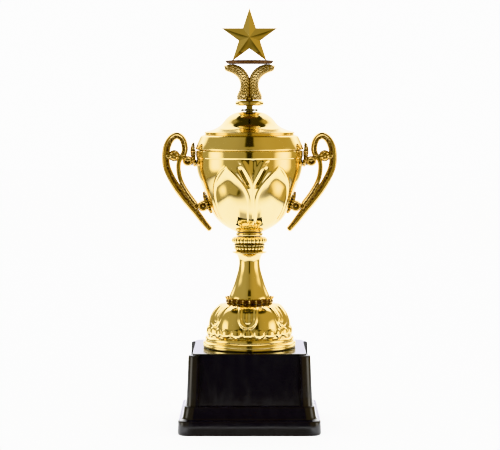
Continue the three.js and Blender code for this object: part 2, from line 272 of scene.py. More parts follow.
class Nodes:
    """A material's node tree, with short ways to add nodes."""

    def __init__(self, name):
        self.material = bpy.data.materials.new(name)
        self.material.use_nodes = True
        self.tree = self.material.node_tree
        self.tree.nodes.clear()
        self.out = self.node("OutputMaterial")
        self.place = self.node("TexCoord").outputs["Object"]

    def node(self, kind, values=None, **settings):
        made = self.tree.nodes.new("ShaderNode" + kind)
        for key, value in settings.items():
            setattr(made, key, value)
        for key, value in (values or {}).items():
            self.put(made.inputs[key], value)
        return made

    def put(self, socket, value):
        if isinstance(value, bpy.types.NodeSocket):
            self.tree.links.new(value, socket)
        else:
            socket.default_value = value

    def noise(self, size_mm, detail, rough, stretch=None, distortion=0.0):
        where = self.place
        if stretch:
            where = self.node("Mapping", {"Vector": where, "Scale": stretch}).outputs[0]
        return self.node("TexNoise", {
            "Vector": where, "Scale": 1 / (size_mm * MM), "Detail": detail,
            "Roughness": rough, "Distortion": distortion,
        }).outputs["Fac"]

    def spread(self, value, low, high, to_low=0.0, to_high=1.0):
        ends = {"From Min": low, "From Max": high, "To Min": to_low, "To Max": to_high}
        return self.node("MapRange", {"Value": value, **ends}).outputs["Result"]

    def patches(self, size_mm, detail, rough, low=0.3, high=0.7):
        """Soft patches of the noise, 0 to 1."""
        return self.spread(self.noise(size_mm, detail, rough), low, high)

    def math(self, kind, a, b, clamp=False):
        return self.node("Math", {0: a, 1: b}, operation=kind, use_clamp=clamp).outputs[0]

    def plus(self, a, b, share=1.0, clamp=False):
        """a + share * b"""
        if share != 1:
            b = self.math("MULTIPLY", b, share)
        return self.math("ADD", a, b, clamp)

    def mix(self, share, a, b):
        made = self.node("Mix", data_type="RGBA")
        for socket, value in ((0, share), (6, a), (7, b)):
            self.put(made.inputs[socket], value)
        return made.outputs[2]

    def attribute(self, name, output="Fac"):
        return self.node("Attribute", attribute_name=name).outputs[output]

    def bumps(self, *layers):
        """Normals with (height, depth in mm) layers, the first at the bottom."""
        normal = None
        for height, depth in layers:
            values = {"Height": height, "Distance": depth * MM, "Strength": 1.0}
            if normal is not None:
                values["Normal"] = normal
            normal = self.node("Bump", values).outputs[0]
        return normal

    def surface(self, colour, rough, normal=None, **values):
        if normal is not None:
            values["Normal"] = normal
        shader = self.node("BsdfPrincipled", {"Base Color": colour, "Roughness": rough, **values})
        self.put(self.out.inputs["Surface"], shader.outputs[0])
        return self.material


def scratches(n, size_mm, stretch, low=0.66, high=0.74):
    """Thin marks, 1 in a scratch."""
    return n.spread(n.noise(size_mm, 2.0, 0.5, stretch, 0.4), low, high)


def polished_gold(name, deep, bright, sheen=0.05):
    """Mirror gold plating on moulded plastic: faint waves, smears and hairlines, with painted shade
    where the relief is low.
    """
    n = Nodes(name)
    cloud = n.patches(21, 4, 0.6)
    colour = n.mix(cloud, deep, bright)
    # painted shade: a dark brown mixed in where the relief is low, in grooves, valleys and seams
    clear_of_painted_shade = n.spread(n.attribute("relief"), 0.0, 0.55)
    colour = n.mix(clear_of_painted_shade, (0.11, 0.075, 0.02, 1), colour)
    hair = scratches(n, 0.9, (1, 1, 0.07))
    smear = n.patches(9, 5, 0.65, 0.35, 0.75)
    rough = n.plus(n.spread(smear, 0, 1, sheen, sheen + 0.07), hair, 0.10)
    rough = n.plus(rough, n.spread(clear_of_painted_shade, 0, 1, 0.14, 0.0), clamp=True)
    normal = n.bumps((n.noise(16, 2, 0.4), 0.10), (n.noise(1.1, 3, 0.6), 0.0016), (hair, 0.0012))
    return n.surface(colour, rough, normal, Metallic=1.0)


def cast_gold(name, bright):
    """Antiqued gold plating: bright on what stands proud, purplish brown in recesses."""
    n = Nodes(name)
    uneven = n.spread(n.noise(1.0, 5, 0.65), 0.3, 0.7, -0.16, 0.16)
    height = n.plus(n.attribute("relief"), uneven)
    cloud = n.patches(7, 4, 0.6)
    gold = n.mix(cloud, tuple(0.70 * c for c in bright) + (1,), bright + (1,))
    stain = n.patches(2.4, 4, 0.6, 0.35, 0.65)
    patina = n.mix(stain, (0.05, 0.024, 0.022, 1), (0.16, 0.082, 0.032, 1))
    proud = n.spread(height, 0.28, 0.72)
    colour = n.mix(proud, patina, gold)
    grain = n.spread(n.noise(0.7, 3, 0.6), 0.3, 0.7, 0.0, 0.1)
    rough = n.plus(n.spread(proud, 0, 1, 0.48, 0.15), grain)
    normal = n.bumps((n.noise(0.55, 4, 0.7), 0.05), (n.noise(3.2, 3, 0.5), 0.08))
    return n.surface(colour, rough, normal, Metallic=1.0)


def bright_washer(name):
    """Chrome-plated stamping with fine turned lines."""
    n = Nodes(name)
    lines = n.noise(0.22, 2, 0.5, (1, 1, 0.1))
    smear = n.patches(3, 4, 0.6)
    colour = n.mix(smear, (0.17, 0.172, 0.18, 1), (0.27, 0.272, 0.28, 1))
    rough = n.plus(n.spread(smear, 0, 1, 0.08, 0.16), n.spread(lines, 0.4, 0.7, 0.0, 0.08))
    normal = n.bumps((lines, 0.01))
    return n.surface(colour, rough, normal, Metallic=1.0)


def zinc(name, tint=(1.0, 1.0, 1.0)):
    """Zinc-plated steel: a fine spangle with dull patches."""
    n = Nodes(name)

    def tinted(*colour):
        return tuple(c * t for c, t in zip(colour, tint)) + (1,)

    spangle = n.node("TexVoronoi", {"Vector": n.place, "Scale": 1 / (0.9 * MM)})
    grain = n.node("SeparateColor", {0: spangle.outputs["Color"]}).outputs[0]
    dull = n.patches(2.6, 4, 0.65, 0.35, 0.7)
    light = n.mix(grain, tinted(0.42, 0.43, 0.46), tinted(0.66, 0.67, 0.68))
    colour = n.mix(dull, light, tinted(0.3, 0.3, 0.29))
    rough = n.plus(n.spread(grain, 0, 1, 0.24, 0.4), dull, 0.18)
    normal = n.bumps((n.noise(0.4, 3, 0.6), 0.02), (dull, 0.01))
    return n.surface(colour, rough, normal, Metallic=1.0)


def black_gloss(name):
    """Glossy black moulding: orange peel, rub marks and a little dust."""
    n = Nodes(name)
    peel = n.noise(1.6, 2, 0.5)
    rub = n.spread(n.noise(6, 5, 0.7, (1, 1, 0.35)), 0.42, 0.75)
    line = scratches(n, 1.3, (0.12, 1, 1.6), 0.68, 0.74)
    dust = n.patches(0.35, 2, 0.5, 0.72, 0.8)
    colour = n.mix(rub, (0.0062, 0.0060, 0.0068, 1), (0.0090, 0.0088, 0.0097, 1))
    colour = n.mix(n.math("MULTIPLY", dust, 0.3), colour, (0.02, 0.019, 0.019, 1))
    rough = n.plus(n.spread(rub, 0, 1, 0.10, 0.19), line, 0.14)
    rough = n.plus(rough, dust, 0.25, clamp=True)
    normal = n.bumps((n.noise(14, 2, 0.4), 0.05), (peel, 0.004), (line, 0.002))
    return n.surface(colour, rough, normal, IOR=1.47)


def rough_cast(name):
    """Dark cast ballast with pits and a little rust."""
    n = Nodes(name)
    pits = n.noise(2.2, 6, 0.7)
    rust = n.patches(8, 5, 0.65, 0.52, 0.68)
    colour = n.mix(n.spread(pits, 0.3, 0.7), (0.07, 0.068, 0.066, 1), (0.17, 0.165, 0.16, 1))
    colour = n.mix(n.math("MULTIPLY", rust, 0.55), colour, (0.16, 0.07, 0.03, 1))
    rough = n.spread(pits, 0.3, 0.7, 0.82, 0.58)
    normal = n.bumps((pits, 0.5), (n.noise(0.5, 3, 0.6), 0.1))
    return n.surface(colour, rough, normal, Metallic=n.spread(rust, 0, 1, 0.6, 0.0))


def fibre_board(name):
    """Matte black board, with fibres and pale scuffs."""
    n = Nodes(name)
    fibre = n.noise(0.8, 4, 0.7, (1, 0.16, 1), 1.2)
    scuff = n.patches(5, 5, 0.7, 0.58, 0.74)
    colour = n.mix(n.spread(fibre, 0.3, 0.7), (0.012, 0.012, 0.013, 1), (0.035, 0.034, 0.035, 1))
    colour = n.mix(n.math("MULTIPLY", scuff, 0.4), colour, (0.11, 0.105, 0.1, 1))
    return n.surface(colour, n.spread(fibre, 0.3, 0.7, 0.7, 0.9), n.bumps((fibre, 0.06)))


GOLD = polished_gold("gold_plate_mirror", (0.92, 0.745, 0.37, 1), (0.96, 0.81, 0.44, 1))
GOLD_SOFT = polished_gold("gold_plate_soft", (0.88, 0.64, 0.27, 1), (0.95, 0.72, 0.35, 1), 0.14)
ANTIQUE = cast_gold("antique_gold_cast", (0.84, 0.62, 0.26))
ANTIQUE_BRIGHT = cast_gold("antique_gold_scales", (0.98, 0.79, 0.42))
CHROME = bright_washer("washer_chrome_plate")
ZINC = zinc("zinc_fastener")
ZINC_WARM = zinc("zinc_rod_passivated", (0.86, 0.66, 0.30))
BLACK = black_gloss("plinth_black_gloss")
BALLAST = rough_cast("ballast_cast")
BOARD = fibre_board("board_fibre")

# -------- plinth

PLINTH_HALF = 50.5
CORNER_ROUND, HOLLOW_ROUND, TOP_ROUND = 8, 6, 4
# narrower levels than this are the top plate's
TOP_HALF = 40.2
POST_INNER, POST_SOFT = 35.4, 0.5
PANEL_TOP, PANEL_FLARE, PANEL_FOOT = 39.9, 1.8, 19.8
PANEL_HEAD, PLINTH_TOP = 55.45, 56.4
CORNER_STEPS, SIDE_STEPS, POST_STEPS = 16, 29, 5
# half width and height, from the foot to the top
PLINTH_WALLS = [
    (49.6, 0), (50.1, 0.35), (50.4, 1), (50.5, 1.8), (50.3, 5.6), (50.12, 9.1), (50, 9.75),
    (49.6, 10.2), (49, 10.45), (48, 10.6), (47.4, 10.85), (47.15, 11.3), (46.95, 12.2),
    (46.7, 13.6), (46.4, 15.4), (46.1, 17.2), (45.8, 18.9), (45.65, 19.5), (45.45, 19.75),
    (45.2, 19.8), (44.9, 19.8), (44.7, 19.95), (44.65, 20.3), (44.3, 27), (43.8, 37), (43.35, 47),
    (43.05, 54.2), (42.9, 54.9), (42.6, 55.3), (42.2, 55.42), (41.4, 55.42), (40.3, 55.42),
    (39.92, 55.5), (39.9, 56), (39.75, 56.3), (39.4, 56.4),
]
HOLLOW_WALLS = [(48.6, 0), (47.75, 0.25), (47.7, 1), (47.7, 8.4), (39.5, 19.3),
                (37.7, 52.6), (37.2, 53.4), (12, 53.4)]


def square_ring(half, corner, depth):
    """One level of the plinth: a rounded square, with its panels set in by `depth`."""
    edge = half - corner
    run = np.linspace(0, POST_SOFT, POST_STEPS)
    step = ramp(run, 0, POST_SOFT)
    start = min(POST_INNER, edge - 2 * POST_SOFT)
    post = np.linspace(-edge, -start - POST_SOFT, POST_STEPS)[:-1]
    side = [(t, 0.0) for t in post]
    side += list(zip(-start - POST_SOFT + run, step))
    side += [(t, 1.0) for t in np.linspace(-start, start, SIDE_STEPS)[1:-1]]
    side += list(zip(start + run, step[::-1]))
    side += [(-t, 0.0) for t in post[::-1]]
    ring = []
    for quarter in range(4):
        turn = quarter * math.pi / 2
        c, s = math.cos(turn), math.sin(turn)
        local = [(t, -(half - depth * d)) for t, d in side]
        for k in range(1, CORNER_STEPS):
            a = -math.pi / 2 + math.pi / 2 * k / CORNER_STEPS
            local.append((edge + corner * math.cos(a), -edge + corner * math.sin(a)))
        ring.extend((x * c - y * s, x * s + y * c) for x, y in local)
    return np.array(ring)


def plinth():
    outside, base, _ = span("plinth_shell")
    grow = outside / PLINTH_HALF
    rows = []

    def level(half, z, corner, depth):
        ring = square_ring(half, corner, depth)
        rows.append(np.column_stack([ring * grow, np.full(len(ring), z + base)]))

    for half, z in PLINTH_WALLS[::-1]:
        share = np.clip((z - PANEL_FOOT) / (PLINTH_TOP - PANEL_FOOT), 0, 1)
        panel = PANEL_TOP + PANEL_FLARE * (1 - share)
        corner = CORNER_ROUND * half / PLINTH_HALF if half > TOP_HALF else TOP_ROUND
        level(half, z, corner, max(half - panel, 0) if PANEL_FOOT < z < PANEL_HEAD else 0)
    top = rows[0]
    inner = [top * [share, share, 1] for share in (0.25, 0.6, 0.93)]
    for half, z in HOLLOW_WALLS:
        level(half, z, min(HOLLOW_ROUND, half / 3), 0)
    return Shape().grid(np.array(inner + rows), wrap_rows=False, caps=True)


piece("plinth_moulding", plinth(), "cup", "plinth_shell", BLACK, 40)

# -------- foot

FOOT_TURN = math.radians(-2.5)
LOBES = 6
BEADS = 22
BEAD_MIDDLE, BEAD_HALF = 68.45, 3.45
TONGUE_HALF = 7.15
TONGUE_FOOT, TONGUE_BEND = 71.6, 79.4
FOOT_RINGS = [
    (32.9, 56.7), (33.3, 57.2), (33.3, 58.2), (33, 58.45), (33.3, 58.7), (33.3, 59.9),
    (32.9, 60.5), (32.2, 60.9), (31.5, 61), (31.6, 61.5), (31.95, 62.4), (31.85, 63.5),
    (31.4, 64.2), (30.6, 64.6), (29.9, 64.8), (29.55, 65.1), (29.45, 66), (29.1, 71.8),
]
FOOT_CAP = [(29.1, 71.8), (28.95, 73.6), (28.3, 76.8), (27.1, 80), (25.2, 83), (22.8, 85.4),
            (20, 87.1), (17.6, 88), (16, 88.3)]
FOOT_INSIDE = [(14, 88.3), (14, 86.6), (20, 85.2), (25.4, 80.6), (26.9, 74), (27.2, 66),
               (30.2, 61.4), (31.2, 56.7)]


def foot_relief(theta, r, z):
    sector = TURN / LOBES
    rel = theta - FOOT_TURN
    outer = ramp(r, 14.2, 15.6) * (z > 56.6)
    # round lobes, which are drawn in under the tongues between them
    valley = 1 - np.abs(within(rel, sector) / sector * 2)
    height = ramp(z, 65.4, 66.6) * (1 - 0.8 * ramp(z, 84.6, 88.2))
    lobe = (0.5 - 2.6 * valley**1.7) * height
    # tongues: a rounded rim round a hollow face, down from the leafy ring
    across = np.abs(within(rel, sector)) * r
    drop = np.clip(TONGUE_BEND - z, 0, None) * TONGUE_HALF / (TONGUE_BEND - TONGUE_FOOT)
    inward = TONGUE_HALF - np.hypot(across, drop)
    rim = 1.5 * bump((inward - 1.7) / 2.1) + 0.35 * ramp(inward, 2.9, 3.8)
    face = 0.6 * dome(np.minimum(across / 3.8, 1)) * ramp(inward, 3.4, 4.8)
    tongue = (rim + face) * (1 - 0.85 * ramp(z, 86.4, 88.3))
    # beads
    pitch = TURN / BEADS
    u = within(rel, pitch) / (pitch * 0.46)
    v = (z - BEAD_MIDDLE) / BEAD_HALF
    bead = 1.5 * dome(np.minimum(np.hypot(u, v), 1))
    belt = (z > 65.1) & (z < 72.1) & (r > 27.5)
    above = (z > 65.2) & (r < 31)
    dr = (lobe + tongue) * outer * above + bead * outer * belt
    # painted shade: darkest in the valleys between the lobes, lighter on the tongues
    shade = np.clip(0.55 + 0.5 * tongue + 0.25 * lobe, 0.1, 1)
    # painted shade: a dark crescent under each bead, and darker between the beads
    under = bump((np.hypot(u, v) - 0.88) / 0.3) * ramp(-v, 0.15, 0.5)
    beads = np.where(bead > 0.15, 1.0, 0.45) - 0.95 * under
    shade = np.where(belt, beads, np.where(above, shade, 1.0))
    return dr, 0 * dr, shade * outer + (1 - outer)


def foot():
    cap = spline(FOOT_CAP, 60)
    closing = soft_line([cap[-1]] + FOOT_INSIDE + FOOT_RINGS[:1], 0.5, 1.6)[1:-1]
    outline = np.concatenate([soft_line(FOOT_RINGS, 0.35, 0.33), cap[1:], closing])
    return turned(seat("foot", outline, 33.3), 480, foot_relief)


piece("foot_lobed_dome", foot(), "cup", "foot", GOLD, 50)

# -------- leafy ring

LEAVES = 22
LEAF_LOW, LEAF_HIGH = 88.6, 92.7


def leaf_relief(theta, r, z):
    outer = ramp(r, 15.35, 15.75)
    v = np.clip((z - LEAF_LOW) / (LEAF_HIGH - LEAF_LOW), 0, 1)
    pitch = TURN / LEAVES
    u = np.abs(within(theta, pitch)) / (pitch / 2)
    other = np.abs(within(theta + pitch / 2, pitch)) / (pitch / 2)
    front = bump(u / (1.05 - 0.5 * v)) * (1 - ramp(v, 0.8, 1.0) * ramp(u, 0.1, 0.7))
    behind = 0.75 * bump(other / 0.8) * ramp(v, 0.45, 0.7)
    curl = 0.5 * np.sin(theta * 61 + 5 * v) * np.sin(theta * 37 - 9 * v + 1.3)
    body = np.maximum(front, behind)
    vein = 0.32 * bump(u / 0.14) + 0.2 * curl
    dr = outer * (0.75 * (body - 0.6) + vein * 0.6 + 0.35 * v**3 * body)
    tips = np.maximum(bump(u / 0.6), bump(other / 0.6) * 0.8)
    notch = -1.7 * ramp(v, 0.72, 1.0) * (1 - tips)
    shade = np.clip(-0.15 + 0.62 * body + 1.3 * vein + 0.8 * ramp(v, 0.86, 0.97), 0, 1)
    return dr, notch * outer, np.where(outer > 0.5, shade, 0.5)


def calyx():
    wall = spline([(15.6, 88.6), (16.5, 89.4), (16.1, 90.6), (16.35, 91.6), (16.9, 92.7)], 26)
    inner = [(15.9, 92.7), (15.3, 92.2), (15.1, 88.7)]
    outline = np.concatenate([wall, refine(inner, 0.8, closed=False)])
    return turned(seat("calyx_ring", outline, 16.9), 528, leaf_relief)


piece("calyx_leaf_ring", calyx(), "cup", "calyx_ring", ANTIQUE, 60)

# -------- stem, knop and neck ring


def stem():
    outside = spline(
        [(14.9, 90.6), (14.85, 92.1), (13.8, 95.2), (11.4, 100.9), (9.6, 106.7), (8, 112.5),
         (7.5, 117), (7.9, 120.6), (9.2, 123.2), (10.9, 124.15)], 96)
    hole = [(11.4, 124.3), (3.4, 124.3), (3, 123.9), (3, 91), (3.4, 90.6), (14.5, 90.6)]
    return turned(seat("stem", np.concatenate([outside, soft_line(hole, 0.2, 2.0)]), 14.9), 144)


piece("stem_trumpet", stem(), "cup", "stem", GOLD, 45)

REEDS = 26
BELT = 128.0


def knop_relief(theta, r, z):
    outer = ramp(r, 8.6, 9.4)
    pitch = TURN / REEDS
    u = within(theta, pitch) / (pitch / 2)
    reed = ramp(z, 130.9, 132.0) * (1 - ramp(z, 135.4, 136.2))
    ridge = dome(u * 0.97)
    bead = 1.25 * dome(np.minimum(np.hypot(u / 0.88, (z - BELT) / 1.45), 1))
    scallop = 0.22 * np.cos(theta * REEDS) * bump(z - 130.2)
    dr = reed * (1.15 * ridge - 0.85) + bead + scallop
    # painted shade: dark between the reeds, between the beads and in a line below the reeds, a little
    # darker elsewhere
    depth = np.where(reed > 0.35, ridge - 0.35, np.where(bead > 0.12, 0.6, 0.0))
    seam = (np.abs(z - BELT) < 1.9) | (reed > 0.35) | (np.abs(z - 130.75) < 0.35)
    return dr * outer, 0 * dr, np.where(seam & (outer > 0.5), depth, 0.5)


def knop():
    wall = [
        (11.2, 124.6), (12, 124.75), (12, 125.2), (11.2, 125.45), (10.2, 125.7), (9.4, 126.2),
        (9.4, 129.5), (10.2, 129.6), (10.85, 129.75), (10.95, 130.15), (10.7, 130.5),
        (10, 130.75), (10.3, 131.1), (10.9, 131.7),
    ]
    bulb = spline([(10.9, 131.7), (11.8, 132.4), (12.15, 133.4), (11.9, 134.5), (11, 135.4),
                   (9.6, 136.3)], 24)
    hole = [(9, 136.4), (3.2, 136.4), (3, 136), (3, 125), (3.2, 124.6)]
    outline = np.concatenate([soft_line(wall, 0.15, 0.22), bulb[1:], refine(hole, 2.0, closed=False)])
    return turned(seat("knop", outline, 12.0), 520, knop_relief)


piece("knop_reeded", knop(), "cup", "knop", GOLD, 50)


def neck_ring():
    torus = spline([(8.6, 136.7), (9.35, 136.95), (9.7, 137.9), (9.4, 138.8), (8.8, 139.2)], 20)
    hole = [(8, 139.2), (3.2, 139.2), (3, 139), (3, 136.9), (3.2, 136.7)]
    outline = seat("neck_ring", refine(np.concatenate([torus, hole]), 0.4))
    # painted shade: the whole ring darkened, darkest towards the seams above and below
    seam = np.abs(outline[:, 1] - outline[:, 1].mean()) / 1.25
    return turned(outline, 144, tone=0.45 * (1 - ramp(seam, 0.6, 0.95))[:, None])


piece("neck_torus", neck_ring(), "cup", "neck_ring", GOLD, 45)

# -------- bowl

BOWL_TURN = math.radians(3.8)
BOWL_LINE = [(9.6, 139.7), (18, 144.1), (25.4, 151.2), (28.9, 158), (32.2, 167.8),
             (35.9, 177.6), (38, 185.4), (38.1, 192.4)]
BOWL_WALL = 1.5
PETALS = 6
# degrees from the front or the back over which the embossing fades
EMBOSSED = (60.0, 68.0)
APEX = 187.6
# how far a petal's middle stands out from the bowl, at each height
PETAL_DEPTH = spline([(140, 0), (147, 0.5), (155, 1.3), (163.5, 1.65), (169, 0.9), (175.5, -0.9),
                      (180, -1.6), (184, -1.1), (188, 0)], 160)


def bowl_radius(z):
    radius, height = np.array(BOWL_LINE).T
    return np.interp(z, height, radius)


def emboss(theta, z, r):
    """How far the embossing of the bowl stands out, and the painted shade in its grooves."""
    sector = 360 / PETALS
    rel = np.degrees(theta - BOWL_TURN)
    # degrees from the middle of the nearest strip between petals, and petal
    strip = np.abs(within(rel, sector))
    side = np.abs(within(rel - sector / 2, sector))
    half = 25.6 * np.sin(np.pi / 2 * np.clip((APEX - z) / 26, 0.0001, 1))
    share = side / half
    belly = np.interp(z, *PETAL_DEPTH.T) * (1 - np.minimum(share, 1) ** 2)
    edge = np.radians(side - half) * r
    rim = 0.7 * bump(edge / 1.7) * ramp(APEX + 1.4 - z, 0, 5) * ramp(z, 143, 150)
    spots = [139, 166.5, 174, 179, 183.7, 189, 193.4]
    arm = np.interp(z, spots, [0, 0, 0.6, 3.4, 6.2, 10.2, 15])
    wide = np.interp(z, spots, [5.6, 4.2, 3.5, 4.3, 4.9, 5.6, 6.6])
    rib = 1.05 * bump((strip - arm) / wide) * ramp(z, 141, 147)
    rib = rib * (1 - 0.4 * ramp(z, 190, 193))
    line = np.interp(z, [171.5, 173.4, 179.4, 185.3, 188.3], [3.8, 4.8, 9.6, 14.1, 16])
    groove = -1.5 * bump((strip - line) / 3.3) * ramp(z, 171.4, 176.0) * (1 - ramp(z, 184, 188))
    notch = -0.55 * bump(strip / 4.5) * ramp(z, 182.4, 186.9) * (1 - 0.5 * ramp(z, 189, 193))
    # plain beside the handles
    plain = ramp(np.abs(within(rel, 180)), *EMBOSSED)
    middle = 1 - ramp(np.abs(within(rel, 180)), 24, 30)
    out = (belly + rim + (rib + groove + notch) * middle) * (1 - plain)
    # painted shade: dark in the grooves
    return out * (1 - ramp(z, 191.0, 193.0)), np.clip(1.25 + groove * middle, 0.0, 1)


def bowl_relief(theta, r, z):
    out, shade = emboss(theta, z, r)
    # the plating's back follows the embossing a little softened
    inside = r < bowl_radius(z) - 0.7
    fade = np.where(inside, 0.8 * ramp(z, 142.5, 147) * (1 - ramp(z, 186, 190.5)), 1.0)
    return out * fade, 0 * out, np.where(inside, 0.9, shade)


def bowl():
    outside, across = route(BOWL_LINE, 130)
    lining = outside - BOWL_WALL * across
    lining = lining[lining[:, 0] > 8.5][::-2]
    rim = [(38.1, 192.4), (38.5, 193.1), (38.6, 194), (38.6, 197.4), (38.3, 198.1),
           (37.7, 198.3), (37, 198.2), (36.7, 197.6), (36.7, 193.4), lining[0]]
    floor = [lining[-1], (8.2, 141.05), (3.3, 141.05), (3, 140.8), (3, 139.8),
             (3.3, 139.5), (9.2, 139.5)]
    outline = np.concatenate(
        [outside, soft_line(rim, 0.3, 0.5)[1:-1], lining, soft_line(floor, 0.3, 1.2)[1:]])
    return turned(seat("bowl", outline, 38.6), 576, bowl_relief)


piece("bowl_embossed", bowl(), "cup", "bowl", GOLD, 50)

# -------- lid


def lid():
    skirt = [(36.7, 198.7), (38.6, 198.7), (38.95, 199), (39, 199.3)]
    tier = spline([(39, 199.3), (38.4, 201.2), (37.5, 203.4), (36.5, 205.6), (35.7, 207.3)], 36)
    shoulder = [tier[-1], (35.3, 208.1), (34.6, 208.7), (33.4, 209.1), (32.6, 209.45)]
    brim = [(32.6, 209.45), (32.05, 209.8), (32, 210.4), (32.5, 210.7), (32.6, 211.1), (32.2, 211.4)]
    crown = spline([(32.2, 211.4), (29, 212.3), (24.4, 213.9), (20.2, 216.6), (16.8, 220.6),
                    (13.2, 223.5), (9.6, 225.1), (6.6, 225.7)], 84)
    inside = [(3.3, 225.7), (3, 225.4), (3, 224.1), (3.3, 223.9), (8, 223.9)]
    under = spline([(8, 223.9), (12.2, 222.2), (15.4, 219.6), (18.8, 215.4), (23.6, 212.4),
                    (29.4, 210.2), (32.4, 207.6), (35, 206.2), (36.5, 204.6), (36.6, 202)], 44)
    outline = np.concatenate([
        soft_line(skirt, 0.3, 0.45), tier[1:], soft_line(shoulder, 0.3, 0.3)[1:],
        soft_line(brim, 0.22, 0.3)[1:], crown[1:], refine(inside, 1.2, closed=False), under[1:],
    ])
    return turned(seat("lid", outline, 39.0), 240)


piece("lid_domed", lid(), "cover", "lid", GOLD, 40)


def collar():
    ring = fillet([(34.8, 192.9), (35.2, 192.2), (35.8, 192.2), (36.1, 192.8), (35.9, 193.6),
                   (36.1, 194.6), (36.1, 204.2), (35.8, 204.6), (35.1, 204.6), (34.8, 204.2)], 0.3)
    return turned(seat("lid_collar", refine(ring, 0.6)), 192)


piece("lid_skirt_ring", collar(), "cover", "lid_collar", GOLD_SOFT, 45)


def washer():
    r, a, b = span("finial_washer")
    ring = fillet([(3.1, a), (r - 0.3, a), (r, a + 0.35), (r, b - 0.3), (r - 0.35, b),
                   (r - 1.6, b), (r - 1.9, b - 0.12), (3.1, b - 0.12)], 0.18)
    return turned(refine(ring, 0.5), 120)


piece("washer_bright", washer(), "cover", "finial_washer", CHROME, 45)

# -------- finial


def finial_foot():
    r, a, b = span("finial_foot")
    torus = spline([(r - 2.4, a), (r - 0.9, a + 0.35), (r, a + 1.75), (r - 0.55, a + 3.1),
                    (r - 1.9, b - 0.12), (r - 2.6, b)], 26)
    hole = [(6, b), (3.3, b), (3, b - 0.3), (3, a + 0.3), (3.3, a)]
    # painted shade: the whole disc darkened
    return turned(np.concatenate([torus, refine(hole, 1.0, closed=False)]), 144, tone=0.42)


piece("finial_disc", finial_foot(), "finial", "finial_foot", GOLD, 45)

HORN_OUTER = [(8.5, 234.2), (8.8, 236.4), (7.3, 240.6), (6.35, 244.6), (6.9, 248), (9.9, 251.9),
              (13.6, 253.9), (17.3, 255.5), (19.2, 257.6)]
HORN_INNER = [(-0.5, 234.2), (-0.5, 237), (-0.5, 241), (-0.5, 245), (-0.4, 248.6), (1, 252.2),
              (4.6, 256.6), (10, 259.3), (17.6, 259.6)]
SCALE_LENGTH, SCALE_LANES = 2.15, 18
COLLAR_LEAVES = 20


def horn(sign):
    """One half of the riser: a scaled horn between its inner and outer edges."""
    steps, ring = 150, 96
    outer, inner = spline(HORN_OUTER, steps), spline(HORN_INNER, steps)
    t = np.linspace(0, 1, steps)
    # round off the far end
    close = np.clip((t - 0.90) / 0.10, 0, 1)
    middle = (outer + inner) / 2
    shrink = np.clip(1 - close**1.5, 0.04, 1)[:, None]
    half = (outer - inner) / 2 * shrink
    depth = np.interp(t, [0, 0.12, 0.4, 0.6, 1], [7.7, 7.8, 5.7, 5.4, 5.0])
    depth = depth * (0.25 + 0.75 * shrink[:, 0]) * np.interp(t, [0, 0.03], [0.94, 1])
    phi = circle(ring)
    c, s = np.cos(phi), np.sin(phi)
    c, s = np.sign(c) * np.abs(c) ** 0.75, np.sign(s) * np.abs(s) ** 0.75
    spokes = np.stack([half[:, :1] * c, depth[:, None] * s, half[:, 1:] * c], -1)
    points = np.insert(middle, 1, 0, axis=1)[:, None] + spokes
    # rows of overlapping scales, each row set half a scale along from the next
    along = lengths(middle)[:, None] / SCALE_LENGTH
    lane = phi[None, :] / TURN * SCALE_LANES
    shift = np.floor(lane) % 2 * 0.5
    tip = np.abs(lane % 1 - 0.5) * 2
    saw = (along + shift - 0.42 * tip**1.6) % 1
    scale = saw**0.7 * (1 - 0.55 * tip**2)
    ends = np.clip(np.minimum(t * 26, (1 - t) * 16), 0, 1)[:, None]
    push = 0.95 * (scale - 0.55) * ends
    out = spokes / np.maximum(np.linalg.norm(spokes, axis=-1, keepdims=True), 1e-6)
    # no scales in the seam between the two horns
    seam = np.clip(points[..., 0] / 1.2, 0.0, 1)
    points = points + out * (push * seam)[..., None]
    points[..., 0] = np.maximum(points[..., 0], -0.2) * sign
    return points, np.clip(0.16 + 1.05 * scale, 0, 1)


def riser():
    _, bottom, top = span("riser")
    shape = Shape()
    for sign in (1, -1):
        points, shade = horn(sign)
        points[..., 2] = np.clip(points[..., 2], bottom, top)
        shape.grid(points, wrap_rows=False, caps=True, relief=shade)
    # a collar of leaves round the foot of the horns
    ring = fillet([(3, 234.2), (8.3, 234.2), (8.9, 234.8), (8.7, 235.7), (7.6, 236.2),
                   (3.0, 236.2)], 0.3)
    points, shade = around(refine(ring, 0.5), 160, base_leaves)
    points[..., 1] *= 0.93
    shape.grid(points, relief=shade)
    return shape


def base_leaves(theta, r, z):
    pitch = TURN / COLLAR_LEAVES
    u = np.abs(within(theta, pitch)) / (pitch / 2)
    outer = ramp(r, 6.6, 7.8)
    return outer * (0.45 * bump(u) - 0.25), 0 * r, np.where(outer > 0.3, 0.15 + 0.7 * bump(u), 0.5)


piece("riser_horns", riser(), "finial", "riser", ANTIQUE_BRIGHT, 60)


def star_plate():
    r, a, b = span("star_plate")
    ring = fillet([(3.0, a), (r - 1.9, a), (r - 1.1, a + 0.35), (r, b - 0.55), (r - 0.05, b - 0.15),
                   (r - 0.5, b), (r - 2.2, b - 0.02), (r - 2.5, b - 0.2), (3.0, b - 0.2)], 0.25)
    ring = refine(ring, 0.7)
    # brighter on top, darker at the edge and underneath
    top = ramp(ring[:, 1], b - 0.3, b - 0.2) * (1 - ramp(ring[:, 0], r - 3.0, r - 1.5))
    return turned(ring, 192, tone=(0.22 + 0.42 * top)[:, None])


piece("star_stand_plate", star_plate(), "finial", "star_plate", ANTIQUE, 40)

STAR_POINTS = 5
STAR_INNER = 0.382
STAR_EDGE = 0.6
STAR_HOLLOW = 0.05


